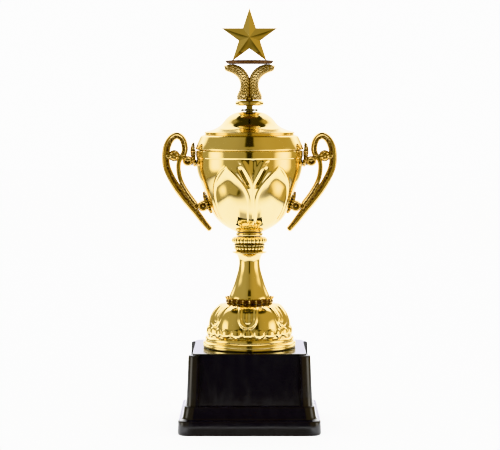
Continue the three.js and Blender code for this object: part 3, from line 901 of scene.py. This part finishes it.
def star():
    """A five-pointed star with a ridge along each arm, hollow-ground facets and soft edges."""
    half, floor, top = span("star")
    radius = half / math.cos(math.radians(18))
    centre = top - radius
    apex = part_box("star")[1].y / MM
    corner = np.arange(2 * STAR_POINTS)
    r = np.where(corner % 2 == 0, radius, radius * STAR_INNER)
    a = corner * TURN / (2 * STAR_POINTS)
    corners = np.column_stack([r * np.sin(a), r * np.cos(a)])[:, None]
    steps = 14
    w = (np.arange(steps) / steps)[:, None]
    outline = (corners * (1 - w) + np.roll(corners, -1, axis=0) * w).reshape(-1, 2)
    # from the middle of a face out to its edge
    share = (np.arange(steps + 1) / steps)[:, None]
    hollow = np.sin(np.pi * np.tile(w[:, 0], len(corners))) * np.sin(np.pi * share) * share
    y = STAR_EDGE + (apex - STAR_EDGE) * (1 - share) - STAR_HOLLOW * hollow
    x, z = share * outline[:, 0], centre + share * outline[:, 1]
    front, back = np.stack([x, -y, z], -1), np.stack([x, y, z], -1)
    soft = front[-1] * [1.003, 0, 1]
    loop = np.concatenate([front[1:], [soft], back[1:][::-1]])
    loop[..., 2] = np.maximum(loop[..., 2], floor)
    rows, cols = loop.shape[:2]
    faces = grid_faces(rows, cols, False, True)
    # fans of triangles close the middle of the front and the back
    last = (rows - 1) * cols
    faces += [[rows * cols, (j + 1) % cols, j] for j in range(cols)]
    faces += [[rows * cols + 1, last + j, last + (j + 1) % cols] for j in range(cols)]
    return Shape().add(np.concatenate([loop.reshape(-1, 3), front[0][:1], back[0][:1]]), faces)


piece("star_faceted", star(), "finial", "star", GOLD, 12)

# -------- handles

STRAP_HALF_DEPTH = 2.5
# longer than any strap
PLAIN = 500
OUTER_STRAP = [(27.8, 140.6), (33.9, 147.9), (37.9, 153.2), (42.5, 158.8), (47, 164.5),
               (51, 169.9), (54.5, 175.5), (57.5, 181.3), (59.6, 187.2), (60.1, 193),
               (59.6, 198.8), (57.9, 203.8), (55.2, 207.3), (51.9, 208.6), (48.5, 206.6),
               (46.6, 201.8), (46.5, 197.6), (47.8, 194)]
OUTER_WIDTH = [(0, 3.6), (0.12, 4.6), (0.3, 5.3), (0.72, 5.3), (0.86, 4.5), (1, 4.2)]
INNER_STRAP = [(47.9, 194.2), (49.9, 191.6), (50.9, 188.2), (50.9, 183.8), (50.2, 179.4),
               (48.5, 174.6), (45.6, 169.4), (42.2, 164.4), (38.4, 159.4)]
CROSSBAR = [(60, 193.8), (54, 194.2), (47.6, 193.4)]
ARM = [(48.6, 192.6), (45.4, 192), (41.8, 191.6)]
# radius, half depth, centre and segments of each scroll's end
SCROLL_ENDS = [(3.7, 3.9, (44.3, 190.5), 44), (4, 4.2, (33.3, 158.2), 48),
               (2.3, 3.2, (38.0, 158.3), 36)]
# middle line, half width and thickness of each leaf against the cup
LEAF_BLADES = [
    ([(39.8, 203.8), (40.2, 200.8), (40.4, 197.8), (40.3, 194.6), (40, 191.4)], 5.6, 4.4),
    ([(40.8, 195.6), (40.6, 192.6), (39.9, 189.8), (39.1, 186.4)], 4.8, 3),
    ([(33, 168.6), (32.3, 164.6), (31.1, 160.4), (29.3, 156.2), (27.4, 152.8)], 4.6, 2.8),
]


def beside(path, side, offset, y):
    """Points off a path in the XZ plane, along its unit vectors and Y."""
    return np.stack([path[:, :1] + side[:, :1] * offset, y, path[:, 1:] + side[:, 1:] * offset], -1)


def strap(line, width, steps, plain_until=None, pitch=2.0):
    """A cast strap in the XZ plane: rounded borders with scales sunk between them."""
    path, side = route(line, steps)
    length = lengths(path)
    face = np.linspace(-1, 1, 23)
    section = [(q, 1.0) for q in face] + [(1.0, v) for v in (0.5, 0, -0.5)]
    section += [(q, -1.0) for q in face[::-1]] + [(-1.0, v) for v in (-0.5, 0, 0.5)]
    q, lift = np.array(section).T[:, None]
    s = length[:, None]
    ends = np.clip(np.minimum(s, length[-1] - s) / 1.2, 0, 1)
    round_end = np.sqrt(np.clip(1 - (1 - ends) ** 2, 0.02, 1))
    width = np.interp(s / length[-1], *np.array(width).T)
    half = width / 2 * round_end
    borders = 1 - 0.42 * np.abs(q) ** 7
    sunk = bump((q + 0.28) / 0.62) ** 0.5
    lane = np.clip((q + 0.28) / 0.5, -1, 1)
    saw = (s / pitch + 0.42 * np.abs(lane)) % 1
    scale = saw**0.8 * (1 - 0.35 * np.abs(lane) ** 2)
    rope = 0.5 + 0.5 * np.sin(TURN * (s / (pitch * 0.62) + 0.8 * lane))
    blot = np.sin(s * 2.1 + 1.6 * np.sin(0.9 * s) + 3.0 * lane) * np.cos(5.0 * lane + 1.3 * s)
    pattern = 0.35 * scale + 0.15 * rope + 0.25 * (1 + blot)
    strength = ends
    if plain_until is not None:
        strength = strength * ramp(s, plain_until - 2, plain_until + 2)
    drop = sunk * (0.34 - 0.32 * pattern) * strength
    wedge = 0.06 * bump((q - 0.6) / 0.4)
    height = (borders + wedge - drop) * STRAP_HALF_DEPTH * (0.55 + 0.45 * round_end)
    on_face = np.abs(lift) > 0.9
    y = np.where(on_face, np.sign(lift) * height, lift * STRAP_HALF_DEPTH * 0.62 * round_end)
    bulge = np.where(on_face, 0, 0.07 * (1 - lift**2))
    offset = half * (q + np.sign(q) * bulge)
    recess = sunk * strength * np.clip(1.6 - 1.55 * pattern, 0, 1)
    return beside(path, side, offset, y), np.where(on_face, 1 - recess, 0.8)


def boss(profile, relief, radius, depth, centre, segments):
    """A knob turned about an axis along Y, the same in front and behind."""
    both = np.concatenate([profile, profile[::-1][1:] * [1, -1]])
    theta = circle(segments)[None, :]
    t = np.repeat(both[:, :1], segments, 1)
    y = np.repeat(both[:, 1:], segments, 1)
    out, lift, shade = relief(theta + 0 * t, t)
    r, y = radius * (t + out), depth * (y + np.sign(y) * lift)
    return np.stack([centre[0] + r * np.cos(theta), y, centre[1] + r * np.sin(theta)], -1), shade


# the end of a scroll: a raised ring round a dark hollow with a button in it
SCROLL = spline([(0.04, 0.62), (0.14, 0.6), (0.22, 0.42), (0.34, 0.3), (0.46, 0.42), (0.6, 0.78),
                 (0.74, 0.84), (0.9, 0.62), (1, 0.25), (1, 0)], 30)
# a small flower with a round button
ROSETTE = spline([(0.03, 0.98), (0.2, 0.94), (0.3, 0.7), (0.36, 0.62), (0.5, 0.86), (0.68, 0.8),
                  (0.84, 0.5), (0.9, 0.38), (0.96, 0.42), (1, 0.25), (1, 0)], 40)


def scroll_relief(theta, t):
    hollow = 1 - bump((t - 0.33) / 0.2)
    wrap = 0.06 * np.sin(3 * theta + 9 * t) * ramp(t, 0.4, 0.6)
    return 0 * t, 0.5 * wrap, np.clip(0.12 + 0.9 * hollow + 2 * wrap, 0, 1)


def rosette_relief(theta, t):
    petals = np.cos(7 * theta) * bump((t - 0.6) / 0.3)
    grooves = 1 - bump((t - 0.34) / 0.1) - bump((t - 0.88) / 0.09)
    return 0.04 * petals, 0.1 * petals, np.clip(0.15 + 0.7 * grooves + 0.3 * petals, 0, 1)


def blade(line, wide, thick, steps=70, ring=40):
    """A leaf seen edge-on: its blade wraps round the cup, across Y."""
    path, side = route(line, steps)
    t = np.linspace(0, 1, steps)[:, None]
    half = wide * np.sin(np.pi * np.clip(t, 0.012, 0.988)) ** 0.75
    half = half * (1 + 0.09 * np.sin(t * np.pi * 9))
    body = thick * (0.25 + 0.75 * np.sin(np.pi * np.clip(t, 0.02, 0.98)) ** 0.5)
    phi = circle(ring)[None, :]
    c, s = np.cos(phi), np.sin(phi)
    rib = 0.35 * thick * bump(c / 0.2) * (s > 0)
    vein = 0.16 * thick * np.sin(16 * np.pi * t + 7 * np.abs(c)) * (np.abs(s) > 0.2)
    n = body / 2 * s + rib + vein * (s > 0)
    shade = np.clip(0.55 + 3 * vein / thick + rib / thick, 0.05, 1)
    return beside(path, side, n, half * c), shade


def clear_of_cup(points):
    """The points moved outward where they would be inside the bowl or under the lid."""
    flat = points.reshape(-1, 3)
    r = np.hypot(flat[:, 0], flat[:, 1])
    # beside the bowl, its band and the lid
    least = np.where(flat[:, 2] > 191.5, 38.7, bowl_radius(flat[:, 2]) - 0.05)
    least = np.where(flat[:, 2] > 198.3, 39.3, least)
    push = np.maximum(least / np.maximum(r, 1e-6), 1)
    flat[:, :2] *= push[:, None]
    return flat.reshape(points.shape)


def handle(mirrored):
    parts = [
        strap(OUTER_STRAP, OUTER_WIDTH, 300, pitch=2.6),
        strap(INNER_STRAP, [(0, 3.3), (1, 3.3)], 130, plain_until=19, pitch=2.3),
        strap(CROSSBAR, [(0, 3.4), (1, 3.4)], 34, plain_until=PLAIN),
        strap(ARM, [(0, 2.9), (1, 2.9)], 22, plain_until=PLAIN),
        boss(ROSETTE, rosette_relief, 4.15, 3.6, (54.0, 194.3), 56),
    ]
    parts += [boss(SCROLL, scroll_relief, *end) for end in SCROLL_ENDS]
    parts += [blade(*leaf) for leaf in LEAF_BLADES]
    shape = Shape()
    for points, shade in parts:
        points = clear_of_cup(points) * ([-1, -1, 1] if mirrored else 1)
        shape.grid(points, wrap_rows=False, caps=True, relief=shade)
    return shape


piece("handle_right_cast", handle(False), "cup", "handle_right", ANTIQUE, 55)
piece("handle_left_cast", handle(True), "cup", "handle_left", ANTIQUE, 55)

# -------- carried-over CAD nodes

SCREWS = [f"handle_screw_{end}_{side}" for end in ("upper", "lower") for side in ("right", "left")]
NUTS = [f"{place}_{kind}" for place in ("rod", "bowl", "lid") for kind in ("washer", "nut")]
for finish, nodes in (
    (BALLAST, ["plinth_weight"]),
    (BOARD, ["bottom_plate"]),
    (ZINC_WARM, ["tie_rod", "finial_stud"]),
    (ZINC, NUTS + SCREWS),
):
    for node in nodes:
        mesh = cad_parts[node].data
        mesh.materials.clear()
        mesh.materials.append(finish)

# -------- studio

WHITE = 3.4
ROOM_RADIUS = 6.0
FLOOR_HALF = 5.5
TABLE_FRONT, TABLE_BACK, TABLE_SIDE = -0.38, 1.6, 0.42
GLOW_HEIGHT = 0.0001
PAPER_LIGHT, TABLE_SHADE = 2.9, [0.25, 0.2, 0.1]
ROOM_LEFT, ROOM_RIGHT = [0.46, 0.385, 0.2], [0.53, 0.395, 0.155]
BOX_LIGHT = 3.3 * np.array([1.0, 0.96, 0.86])
LOW_BACK, HORIZON, HIGH_BACK = [1.0, 0.88, 0.60], [1.85, 1.82, 2.0], 4.0


def light_sheet(name, points, colours, wrap):
    """A grid of points that shines in its colours, but only into reflections."""
    rows, cols = points.shape[:2]
    mesh = bpy.data.meshes.new(name)
    mesh.from_pydata(points.reshape(-1, 3).tolist(), [], grid_faces(rows, cols, False, wrap))
    shine = np.ones((rows * cols, 4), np.float32)
    shine[:, :3] = colours.reshape(-1, 3)
    light = mesh.attributes.new("light", "FLOAT_COLOR", "POINT")
    light.data.foreach_set("color", shine.ravel())
    mesh.shade_smooth()
    n = Nodes(name + "_light")
    glow = n.node("Emission", {"Color": n.attribute("light", "Color")})
    n.put(n.out.inputs["Surface"], glow.outputs[0])
    n.material.cycles.emission_sampling = "NONE"
    mesh.materials.append(n.material)
    sheet = placed(name, mesh)
    for ray in ("camera", "diffuse", "shadow", "transmission"):
        setattr(sheet, "visible_" + ray, False)
    return sheet


def blend(light, share, colour):
    """The light with a share of another colour laid over it."""
    return light * (1 - share[..., None]) + share[..., None] * colour


def room_light(azimuth, elevation):
    """What the polished surfaces see: soft boxes at both sides, a bright wall behind."""
    a, e = np.degrees(azimuth), np.degrees(elevation)
    side = np.abs(a)
    room = blend(ROOM_LEFT, ramp(a, -25, 25), ROOM_RIGHT)
    room = room * (0.80 + 0.20 * ramp(side, 0, 45))[..., None]
    # dark overhead, centred 8 degrees behind the cup
    overhead = np.sin(elevation) * 0.990 - np.cos(elevation) * np.cos(azimuth) * 0.139
    overhead = 1 - ramp(np.degrees(np.arccos(np.clip(overhead, -1, 1))), 27, 35)
    room = room * (1 - 0.92 * overhead)[..., None]
    # and dimmer far below the horizon
    room = room * (1 - 0.55 * ramp(-e, 22, 45))[..., None]
    # soft boxes, the right one with softer edges
    soft = ramp(a, -20, 20) * 4
    box = ramp(side, 55 - soft, 75 + soft) * (1 - ramp(side, 83, 101 + soft))
    box = box * (1 - ramp(e, 6, 27)) * ramp(e, -21, -5)
    light = room + box[..., None] * BOX_LIGHT
    # the wall behind: warm and low, white at the horizon, brightest above
    light = blend(light, ramp(side, 144, 158) * (1 - ramp(e, 6, 18)), LOW_BACK)
    light = blend(light, ramp(side, 163, 169) * (1 - ramp(e, 12, 20)), HORIZON)
    high_back = ramp(side, 116, 140) * ramp(e, 10, 20) * (1 - overhead)
    high_back = high_back * (1 - 0.95 * ramp(side, 167, 172) * ramp(e, 20, 28))
    light = blend(light, high_back, HIGH_BACK)
    # a dark slot in front, wider overhead, open where the star looks, and a low dark patch
    wide = 5 * ramp(e, 38, 41)
    slot = (1 - ramp(side, 4.5 + wide, 8.5 + wide)) * (1 - ramp(e, 84, 90))
    slot = slot * (1 - 0.9 * ramp(e, 25, 28) * (1 - ramp(e, 38, 41)))
    low_front = (1 - ramp(side, 20, 27)) * ramp(-e, 15, 19) * (1 - ramp(-e, 34, 40))
    slot = np.maximum(slot, 0.85 * low_front)
    return light * (1 - 0.94 * slot[..., None])


def studio_room():
    """A shell of light all round, from below the horizon to straight overhead."""
    elevation = np.radians(np.linspace(-60, 90, 121))
    azimuth = circle(240) - math.pi
    e, a = np.meshgrid(elevation, azimuth, indexing="ij")
    shell = np.stack([np.cos(e) * np.sin(a), -np.cos(e) * np.cos(a), np.sin(e)], -1)
    return light_sheet("studio_room", ROOM_RADIUS * shell, room_light(a, e), True)


def table_glow():
    """What the polished surfaces see of the table: white paper, with a shaded apron in front."""
    across = np.linspace(-TABLE_SIDE, TABLE_SIDE, 85)
    away = np.concatenate([np.linspace(TABLE_FRONT, 0.7, 109), [TABLE_BACK]])
    y, x = np.meshgrid(away, across, indexing="ij")
    paper = ramp(y, TABLE_FRONT, TABLE_FRONT + 0.24)
    sides = ramp(np.abs(x), TABLE_SIDE - 0.14, TABLE_SIDE)
    paper = paper * (1 - sides * (1 - ramp(y, 0.5, 0.7)))
    apron = (1 - ramp(np.abs(x), 0.040, 0.062)) * ramp(y, -0.18, -0.10) * (1 - ramp(y, -0.05, -0.04))
    paper = (paper * (1 - 0.85 * apron))[..., None]
    colours = paper * PAPER_LIGHT + (1 - paper) * TABLE_SHADE
    return light_sheet("table_glow", np.stack([x, y, 0 * x + GLOW_HEIGHT], -1), colours, False)


def floor():
    """White paper, plain to the camera and left out of the reflections."""
    mesh = bpy.data.meshes.new("floor")
    corners = [(-1, -1), (1, -1), (1, 1), (-1, 1)]
    mesh.from_pydata([(FLOOR_HALF * x, FLOOR_HALF * y, 0) for x, y in corners], [], [(0, 1, 2, 3)])
    n = Nodes("floor_paper")
    white = n.mix(n.patches(60, 3, 0.5), (0.9, 0.9, 0.9, 1), (0.93, 0.93, 0.93, 1))
    mesh.materials.append(n.surface(white, 0.9))
    made = placed("floor", mesh)
    made.visible_glossy = False
    return made


for staged in (studio_room(), table_glow(), floor()):
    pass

world = bpy.data.worlds.new("studio")
world.use_nodes = True
background = world.node_tree.nodes["Background"].inputs
background["Color"].default_value = (1, 1, 1, 1)
background["Strength"].default_value = WHITE
scene.world = world
scene.view_settings.view_transform = "Khronos PBR Neutral"

# -------- camera

SENSOR = 36
EYE_DISTANCE, EYE_HEIGHT, AIM_HEIGHT = 1.26, 0.2266, 0.1444
# the camera stands this far to the right of the cup's axis
ASIDE = 0.0004
# the frame is this wide at this distance
VIEW_WIDTH, VIEW_DISTANCE = 0.36, 1.2627

low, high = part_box("plinth_shell")
camera_x = (low.x + high.x) / 2 + ASIDE
eye = Vector((camera_x, -EYE_DISTANCE, EYE_HEIGHT))
aim = Vector((camera_x, 0, AIM_HEIGHT))
camera = placed("camera", bpy.data.cameras.new("camera"))
camera.data.sensor_width = SENSOR
camera.data.lens = SENSOR * VIEW_DISTANCE / VIEW_WIDTH
camera.data.clip_start, camera.data.clip_end = 0.05, 50
camera.location = eye
camera.rotation_mode = "QUATERNION"
camera.rotation_quaternion = (aim - eye).to_track_quat("-Z", "Y")
bpy.context.scene.camera = camera
